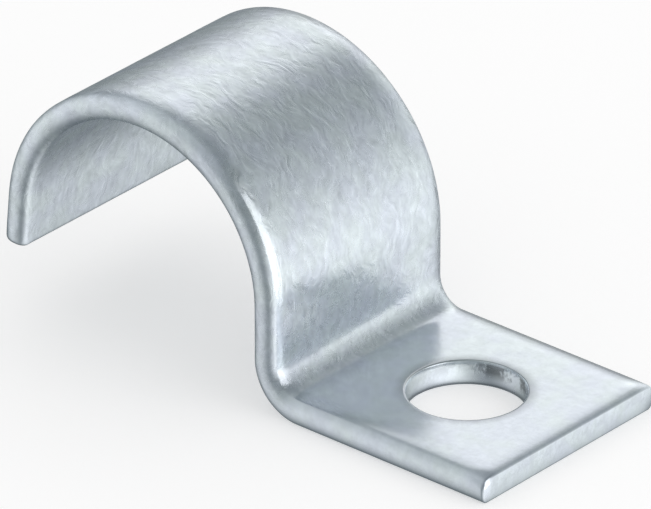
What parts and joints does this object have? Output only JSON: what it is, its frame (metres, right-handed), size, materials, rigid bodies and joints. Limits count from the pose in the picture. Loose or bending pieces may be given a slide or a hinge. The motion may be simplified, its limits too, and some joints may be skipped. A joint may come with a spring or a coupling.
{
  "type": "conduit strap",
  "caption": "Single-lug conduit strap folded from zinc-coated steel strip: a half-round saddle holds the conduit and a flat lug with a screw hole fixes it to a wall.",
  "frame": {"origin": "centre of the fixing hole, on the wall face of the lug", "axes": "+Z away from the wall along the fixing screw, +X from the saddle towards the end of the lug, Y along the conduit"},
  "size_m": [0.0337, 0.014, 0.0155],
  "materials": {
    "zinc_coated_steel": "satin zinc coating, slightly mottled and wrinkled"
  },
  "bodies": {
    "root": {"strap": "zinc_coated_steel"}
  },
  "joints": []
}
